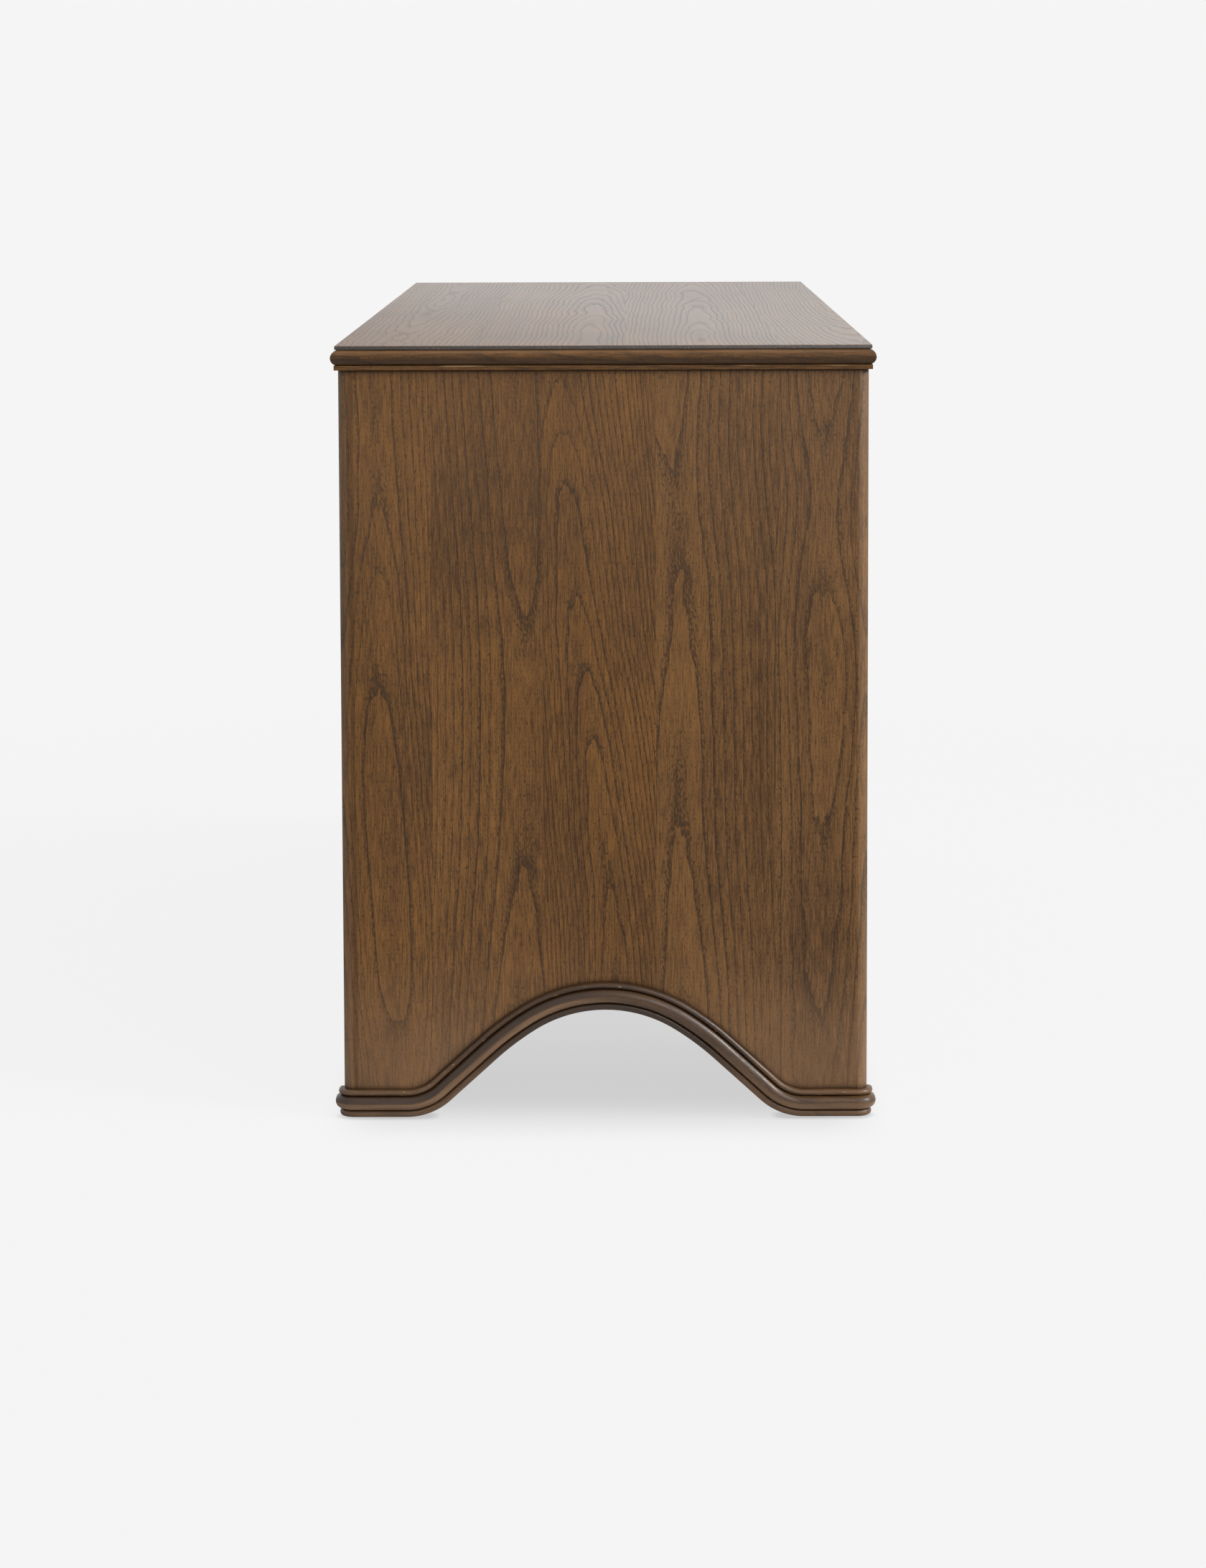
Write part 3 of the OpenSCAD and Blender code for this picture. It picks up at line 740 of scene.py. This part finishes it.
RIGHT_END = wood("right_end_wood", CASE_STAIN, RIGHT_GRAIN, chosen_leaf(END_LEAVES), painted_light_and_marks=painted_light_on_panels)
LEFT_END = wood("left_end_wood", CASE_STAIN, LEFT_GRAIN, leaf_by_lot(0.112, 3.0), painted_light_and_marks=painted_light_on_panels)
TOP = wood("top_wood", TOP_STAIN, along_board("y", "x", "z", TOP_FACE), TOP_LEAF, gloss=0.34, relief=0.0002,
           shine=1.0, painted_light_and_marks=darker_lip, glaze_and_shade=0, lacquer=0.18)
FRONT = wood("front_wood", CASE_STAIN, FRONT_GRAIN, leaf_by_lot(0.13, 7.0))
BACK = wood("back_wood", CASE_STAIN, BACK_GRAIN, leaf_by_lot(0.12, 9.0), gloss=0.55)
BASE_WOOD = wood("base_moulding_wood", MOULDING_STAIN, along_moulding, BASE_LEAF, gloss=0.34, relief=0.00005,
                 shine=0.44, painted_light_and_marks=beads_with_painted_light_and_chips, glaze_and_shade=0.28)
BEAD_WOOD = wood("top_moulding_wood", BEAD_STAIN, along_moulding, BEAD_LEAF, gloss=0.32, relief=0.00006,
                 shine=0.25, painted_light_and_marks=top_bead_with_painted_light, glaze_and_shade=0)
INNER = wood("inner_wood", INNER_STAIN, along_board("y", "x", "z"), leaf_by_lot(0.10, 11.0),
             gloss=0.6, glaze_and_shade=0)
UPRIGHT = wood("upright_wood", CASE_STAIN, along_board("x", "z", "y"), quarter_sawn(4.0), gloss=0.5, glaze_and_shade=0)
BOX_SIDE = wood("box_side_wood", CLEAR_LACQUER, along_board("z", "y", "x"), quarter_sawn(6.0), gloss=0.45,
                glaze_and_shade=0)
BOX_END = wood("box_end_wood", CLEAR_LACQUER, along_board("z", "x", "y"), quarter_sawn(8.0), gloss=0.45,
               glaze_and_shade=0)
BOX_FLOOR = wood("box_floor_wood", CLEAR_LACQUER, along_board("x", "y", "z"), leaf_by_lot(0.2, 13.0),
                 gloss=0.5, glaze_and_shade=0)
print("woods made")

# %% [markdown]
# ## Metal and plastic
# The knobs are cast and darkened, so the bronze shows through only where a hand has rubbed the head.
# The slides are zinc-plated sheet, which has a fine lengthwise polish and a faint bloom. The glides are
# black nylon with a moulded grain.

# %% Aged bronze, zinc plate and nylon
# How far in front of the case's middle the rubbed part of a closed drawer's knob starts and is full
RUBBED_HEAD = (0.2780, 0.2812)


def scaled_noise(place, waves, detail=2.0, roughness=0.5):
    """Noise with as many waves in a metre each way."""
    scaled = place.node("VectorMath", {"operation": "SCALE"}, {0: place, "Scale": waves})
    return noise(scaled, detail, roughness)


def aged_bronze():
    made, shader, wire = start("aged_bronze")
    place = wire.node("TexCoord", out="Object")
    blotches = scaled_noise(place, 160.0, 4.0, 0.6)
    fine = scaled_noise(place, 900.0)
    out_from_middle = axes(wire, place)[1] * -1.0
    rubbed_and_painted_light = smooth(out_from_middle + blotches * 0.0012, *RUBBED_HEAD)
    cast = mix(smooth(blotches, -0.5, 0.6), srgb(66, 50, 36), srgb(92, 70, 48))
    connect(shader, wire, {
        "Base Color": mix(rubbed_and_painted_light * 0.7, cast, srgb(150, 118, 80)),
        "Metallic": 1.0,
        "Roughness": 0.46 - rubbed_and_painted_light * 0.14 + fine * 0.05,
        "Normal": bump(blotches + fine * 0.4, 0.0002, 0.5),
    })
    return made


def zinc_plate():
    made, shader, wire = start("zinc_plate")
    x, y, z = axes(wire, wire.node("TexCoord", out="Object"))
    polish = noise(point(x * 1500.0, y * 18.0, z * 1500.0), 2.0)
    bloom = noise(point(x * 60.0, y * 60.0, z * 60.0), 3.0)
    connect(shader, wire, {
        "Base Color": mix(smooth(bloom, -0.6, 0.6), srgb(176, 178, 182), srgb(190, 191, 191)),
        "Metallic": 1.0,
        "Roughness": polish * 0.05 + bloom * 0.05 + 0.36,
        "Normal": bump(polish, 0.0001, 0.3),
    })
    return made


def black_nylon():
    made, shader, wire = start("black_nylon")
    x, y, z = axes(wire, wire.node("TexCoord", out="Object"))
    pebble = noise(point(x * 1800.0, y * 1800.0, z * 1800.0), 2.0)
    scuff = smooth(noise(point(x * 240.0, y * 90.0, z * 240.0), 3.0), 0.1, 0.6)
    connect(shader, wire, {
        "Base Color": mix(scuff * 0.5, srgb(34, 33, 32), srgb(62, 60, 58)),
        "Roughness": pebble * 0.06 + scuff * 0.1 + 0.55,
        "Normal": bump(pebble, 0.0001, 0.4),
    })
    return made


BRONZE, ZINC, NYLON = aged_bronze(), zinc_plate(), black_nylon()
print("metal and plastic made")

# %% [markdown]
# ## Boards with eased edges
# A board in CAD has knife edges, and a real one never does: sandpaper takes off about half a millimetre,
# and that thin round catches the light. Each board here is a copy of its CAD mesh with the triangles
# merged back into flat faces, and a Bevel modifier rounds its edges.

# %% Copy a node's mesh and clean it
DOUBLED = 1e-5
FLAT = math.radians(1)
SHARP = math.radians(31)
BODY_OF = {node: body for body, nodes in frame["record"]["behaviour"]["bodies"].items() for node in nodes}


def clean_copy(node):
    """The node's mesh with its doubled vertices merged and its flat triangles joined."""
    work = bmesh.new()
    work.from_mesh(frame["nodes"][node].data)
    bmesh.ops.remove_doubles(work, verts=work.verts, dist=DOUBLED)
    bmesh.ops.dissolve_limit(work, angle_limit=FLAT, verts=work.verts, edges=work.edges)
    for face in work.faces:
        face.smooth = True
    mesh = bpy.data.meshes.new(node + "_eased")
    work.to_mesh(mesh)
    work.free()
    return mesh


def put(name, mesh, body, slot, *nodes):
    """Places a piece on its body, in the stead of the CAD nodes that it stands for."""
    piece = bpy.data.objects.new(name, mesh)
    bpy.context.scene.collection.objects.link(piece)
    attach(piece, body)
    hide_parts(*nodes)
    return piece


def eased_board(node, finish, slot, radius):
    """A copy of a CAD board with rounded edges and a new finish."""
    mesh = clean_copy(node)
    mesh.materials.append(finish)
    piece = put(node + "_board", mesh, BODY_OF[node], slot, node)
    rounding = piece.modifiers.new("eased", "BEVEL")
    rounding.width = radius
    rounding.segments = 2
    rounding.limit_method = "ANGLE"
    rounding.angle_limit = SHARP
    rounding.harden_normals = True
    return piece


# %% Boards of the case
CASE_EDGE, BOX_EDGE, SHEET_EDGE = 0.0006, 0.0005, 0.0003
SLOTS = {part["node"]: part["material_slot"] for part in frame["record"]["subparts"]}
CASE_BOARDS = {
    "left_end_panel": LEFT_END, "right_end_panel": RIGHT_END, "top_panel": TOP, "front_apron": FRONT,
    "back_apron": BACK, "back_panel": BACK, "bottom_panel": INNER, "centre_divider": UPRIGHT,
    "top_rails": FRONT, "drawer_blades": FRONT, "support_blocks": UPRIGHT, "floor_glides": NYLON,
    "case_slide_members": ZINC,
}
for node, finish in CASE_BOARDS.items():
    eased_board(node, finish, SLOTS[node], SHEET_EDGE if finish is ZINC else CASE_EDGE)
print(len(CASE_BOARDS), "boards of the case")

# %% Boards of the drawers
ROWS = ("bottom", "middle", "top")
COLUMNS = ("left", "right")
DRAWER_BOARDS = {
    "front": FRONT, "sides": BOX_SIDE, "ends": BOX_END, "bottom": BOX_FLOOR, "slide_members": ZINC,
    "middle_members": ZINC,
}
for row in ROWS:
    for column in COLUMNS:
        for piece, finish in DRAWER_BOARDS.items():
            node = f"{row}_{column}_drawer_{piece}"
            eased_board(node, finish, SLOTS[node], SHEET_EDGE if finish is ZINC else BOX_EDGE)
print("boards of six drawers")

# %% [markdown]
# ## Mouldings
# A moulding is one section drawn along one path, and a lathe and a plane do just that. So the mesh is a
# strip of sections, and its UV layer is laid out in metres at the same time: along the path one way and
# round the section the other. The grain then follows every curve.

# %% Sweep a section along a list of places
BACK_FACE_WIDTH = 0.02
ARRIS_ANGLE = math.radians(40)


def swept(name, strips):
    """A mesh of closed strips. A strip is rows of points, with how far along each row lies."""
    work = bmesh.new()
    grain = work.loops.layers.uv.new("grain")
    for rows, travelled in strips:
        around = [0.0]
        middle = rows[len(rows) // 2]
        for before, after in zip(middle, middle[1:]):
            around.append(around[-1] + (Vector(after) - Vector(before)).length)
        verts = [[work.verts.new(place) for place in row] for row in rows]
        count = len(rows[0])
        for i in range(len(rows) - 1):
            for j in range(count):
                k = (j + 1) % count
                face = work.faces.new((verts[i][j], verts[i][k], verts[i + 1][k], verts[i + 1][j]))
                face.smooth = True
                far = around[k] if k else around[-1] + BACK_FACE_WIDTH
                spots = ((i, around[j]), (i, far), (i + 1, far), (i + 1, around[j]))
                for loop, (r, across) in zip(face.loops, spots):
                    loop[grain].uv = (travelled[r], across)
        for row in (verts[0], verts[-1][::-1]):
            face = work.faces.new(row[::-1])
            for loop in face.loops:
                loop[grain].uv = (0.0, 0.0)
    bmesh.ops.recalc_face_normals(work, faces=work.faces)
    mesh = bpy.data.meshes.new(name)
    work.to_mesh(mesh)
    work.free()
    mesh.set_sharp_from_angle(angle=ARRIS_ANGLE)
    return mesh


print("sweep ready")

# %% The arch that the base mouldings follow
MM = 0.001
HALF_W, HALF_D, FOOT_Z, CORNER_R = 0.753, 0.2575, 0.0015, 0.010
ARCH_RISE, CREST_R, SHOULDER_R, FOOT_R = 107.0, 128.5, 265.0, 63.7
CREST_TURN, STEEPEST = math.radians(31.8), math.radians(42.3)
ARCH_STEP = math.radians(1.0)
STRAIGHT_STEP = 4


def turns(start_turn, end_turn):
    """Angles from one turn to another, about a degree apart."""
    count = max(1, round(abs(end_turn - start_turn) / ARCH_STEP))
    return [start_turn + (end_turn - start_turn) * i / count for i in range(count + 1)]


def on_arc(middle, radius, turn):
    """A place on an arc whose middle lies at (across, up), and the slope there."""
    return middle[0] + radius * math.sin(turn), middle[1] + radius * math.cos(turn), turn


def half_arch():
    """The arch's lower edge from its crest out to the foot, as (across, up, slope) in millimetres."""
    crest = (0.0, ARCH_RISE - CREST_R)
    back = SHOULDER_R - CREST_R
    shoulder = (crest[0] - back * math.sin(CREST_TURN), crest[1] - back * math.cos(CREST_TURN))
    steep = on_arc(shoulder, SHOULDER_R, STEEPEST)
    ahead, down = math.cos(STEEPEST), math.sin(STEEPEST)
    run = (steep[1] - FOOT_R * (1 - ahead)) / down
    foot = (steep[0] + run * ahead + FOOT_R * down, steep[1] - run * down + FOOT_R * ahead)
    edge = [on_arc(crest, CREST_R, a) for a in turns(0, CREST_TURN)]
    edge += [on_arc(shoulder, SHOULDER_R, a) for a in turns(CREST_TURN, STEEPEST)[1:]]
    straight = max(1, round(run / STRAIGHT_STEP))
    for i in range(1, straight):
        gone = run * i / straight
        edge.append((steep[0] + gone * ahead, steep[1] - gone * down, STEEPEST))
    return edge + [on_arc(foot, -FOOT_R, a) for a in turns(STEEPEST, 0)]


print("arch of", len(half_arch()), "points a side")

# %% The three beads
# The radius of each bead and how far it stands out, from the floor up
BEADS = ((3.5, 4.6), (7.1, 9.0), (3.1, 5.8))
BEAD_STEPS = (12, 24, 12)
GROOVE_OUT = 1.5
# How far behind the corner the moulding is cut off, with one more section on the way
RETURNS = (13, 16)
CORNER_STEP = 5


def base_section():
    """The moulding's section as (up, out) in millimetres: three beads with grooves between them."""
    section, base = [(0.0, 0.0)], 0.0
    for (radius, out), steps in zip(BEADS, BEAD_STEPS):
        for i in range(steps):
            a = math.pi * i / steps
            section.append((base + radius * (1 - math.cos(a)), GROOVE_OUT + (out - GROOVE_OUT) * math.sin(a)))
        base += 2 * radius
    return section + [(base, GROOVE_OUT), (base, 0.0)]


def base_rows():
    """Sections from one cut end to the other, in the end panel's own axes: along, up and out."""
    half_length, radius = HALF_D / MM, CORNER_R / MM
    arch = half_arch()
    whole = [(-x, y, -a) for x, y, a in reversed(arch[1:])] + arch
    corner = [math.radians(d) for d in range(0, 91, CORNER_STEP)]
    right = [((half_length - radius + radius * math.sin(a), 0, radius * (math.cos(a) - 1)), (0, 1, 0),
              (math.sin(a), 0, math.cos(a))) for a in corner]
    right += [((half_length, 0, -back), (0, 1, 0), (1, 0, 0)) for back in RETURNS]
    left = [((-x, y, z), up, (-out[0], 0, out[2])) for (x, y, z), up, out in reversed(right)]
    spots = left + [((x, y, 0), (math.sin(a), math.cos(a), 0), (0, 0, 1)) for x, y, a in whole] + right
    section = base_section()
    rows = [[Vector(p) + Vector(up) * s + Vector(out) * t for s, t in section] for p, up, out in spots]
    travelled = [0.0]
    for before, after in zip(spots, spots[1:]):
        travelled.append(travelled[-1] + (Vector(after[0]) - Vector(before[0])).length * MM)
    return rows, travelled


for side, sign in (("left", -1), ("right", 1)):
    rows, travelled = base_rows()
    rows = [[(sign * (HALF_W + p.z * MM), p.x * MM, p.y * MM + FOOT_Z) for p in row] for row in rows]
    node = side + "_base_moulding"
    mesh = swept(node + "_beads", [(rows, travelled)])
    mesh.materials.append(BASE_WOOD)
    put(node + "_beads", mesh, BODY_OF[node], SLOTS[node], node)
    print(node, len(mesh.polygons), "faces")

# %% [markdown]
# The top moulding is made of four lengths that meet in mitres, so each row of its strip is cut at 45
# degrees: a point of the section that stands further out also reaches further round the corner.

# %% The bead under the top
TOP_SECTION_Z = 0.7382
SECTION_HEIGHT = 20.05
INWARD = 18.0
FILLET_HEIGHT, FILLET_OUT, FILLET_EASE = 4.7, 3.3, 0.5
EASE_STEP = 15
BEAD_RADIUS, BEAD_OUT, BEAD_MIDDLE = 7.5, 6.6, 12.0
BEAD_PARTS = 26
GROOVE_BACK = 1.0
LENGTH_PARTS = 24


def round_part(out, up, radius, angles):
    """Points on an arc of the section about a middle, at angles that start level and rise."""
    return [(out + radius * math.cos(a), up + radius * math.sin(a)) for a in angles]


def top_section():
    """The section as (out, up) in millimetres, from its inner foot round the fillet and the bead."""
    ease, inner = FILLET_EASE, FILLET_OUT - FILLET_EASE
    quarter = turns(0, math.pi / 2)[::EASE_STEP]
    fillet = round_part(inner, ease, ease, [a - math.pi / 2 for a in quarter])
    fillet += round_part(inner, FILLET_HEIGHT - ease, ease, quarter)
    middle = BEAD_OUT - BEAD_RADIUS
    reach = math.acos((GROOVE_BACK - middle) / BEAD_RADIUS)
    sweep = [-reach + 2 * reach * i / BEAD_PARTS for i in range(BEAD_PARTS + 1)]
    bead = round_part(middle, BEAD_MIDDLE, BEAD_RADIUS, sweep)
    top = [(GROOVE_BACK, SECTION_HEIGHT), (-INWARD, SECTION_HEIGHT)]
    return [(-INWARD, 0.0)] + fillet + [(GROOVE_BACK, FILLET_HEIGHT)] + bead + top


def top_strip(half_out, half_along, placed):
    """Sections of one length of the moulding, each cut so that the ends meet in mitres."""
    section = top_section()
    rows, travelled = [], []
    for i in range(LENGTH_PARTS + 1):
        share = -1 + 2 * i / LENGTH_PARTS
        rows.append([
            placed(share * (half_along + x * MM), half_out + x * MM, TOP_SECTION_Z + y * MM)
            for x, y in section
        ])
        travelled.append((share + 1) * half_along)
    return rows, travelled


strips = [
    top_strip(HALF_W, HALF_D, lambda along, out, up: (out, along, up)),
    top_strip(HALF_W, HALF_D, lambda along, out, up: (-out, along, up)),
    top_strip(HALF_D, HALF_W, lambda along, out, up: (along, out, up)),
    top_strip(HALF_D, HALF_W, lambda along, out, up: (along, -out, up)),
]
mesh = swept("top_moulding_bead", strips)
mesh.materials.append(BEAD_WOOD)
put("top_moulding_bead", mesh, "case", SLOTS["top_moulding"], "top_moulding")
print("top moulding", len(mesh.polygons), "faces")

# %% [markdown]
# ## Knobs
# A knob is turned, so half of its outline says everything, and a lathe in code spins it. The outline has
# a foot that sits on the drawer front, a waist for two fingers and a low domed head with a soft rim.

# %% Turn the knobs
# Half of the outline as (radius, out) in millimetres: the foot, the waist and the head
KNOB_OUTLINE = (
    (0.0, 0.0), (10.6, 0.0), (11.0, 0.5), (11.0, 2.0), (10.5, 2.5), (8.6, 2.7),
    (6.6, 3.6), (5.6, 5.2), (5.5, 8.0), (5.7, 10.2), (7.0, 11.6), (10.5, 13.2),
    (14.2, 14.6), (15.7, 15.3), (16.0, 16.0), (15.8, 16.8), (14.9, 17.9), (12.6, 19.9),
    (9.6, 21.8), (6.4, 23.1), (3.2, 23.8), (0.0, 24.0),
)
KNOB_SIDES = 72
KNOB_ARRIS = math.radians(60)


def knob_mesh(name, middle):
    """The outline spun about the Y axis, foot against the drawer front at the given middle."""
    work = bmesh.new()
    x0, y0, z0 = middle
    rings = []
    for radius, out in KNOB_OUTLINE:
        if radius == 0:
            rings.append([work.verts.new((x0, y0 - out * MM, z0))])
            continue
        rings.append([
            work.verts.new((x0 + radius * MM * math.cos(a), y0 - out * MM, z0 + radius * MM * math.sin(a)))
            for a in (math.tau * i / KNOB_SIDES for i in range(KNOB_SIDES))
        ])
    for low, high in zip(rings, rings[1:]):
        for i in range(KNOB_SIDES):
            j = (i + 1) % KNOB_SIDES
            corners = [low[i % len(low)], low[j % len(low)], high[j % len(high)], high[i % len(high)]]
            face = work.faces.new(list(dict.fromkeys(corners)))
            face.smooth = True
    bmesh.ops.recalc_face_normals(work, faces=work.faces)
    mesh = bpy.data.meshes.new(name)
    work.to_mesh(mesh)
    work.free()
    mesh.set_sharp_from_angle(angle=KNOB_ARRIS)
    return mesh


for row in ROWS:
    for column in COLUMNS:
        node = f"{row}_{column}_drawer_knob"
        low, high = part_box(node)
        mesh = knob_mesh(node + "_turned", ((low[0] + high[0]) / 2, high[1], (low[2] + high[2]) / 2))
        mesh.materials.append(BRONZE)
        put(node + "_turned", mesh, BODY_OF[node], SLOTS[node], node)
print("six knobs")
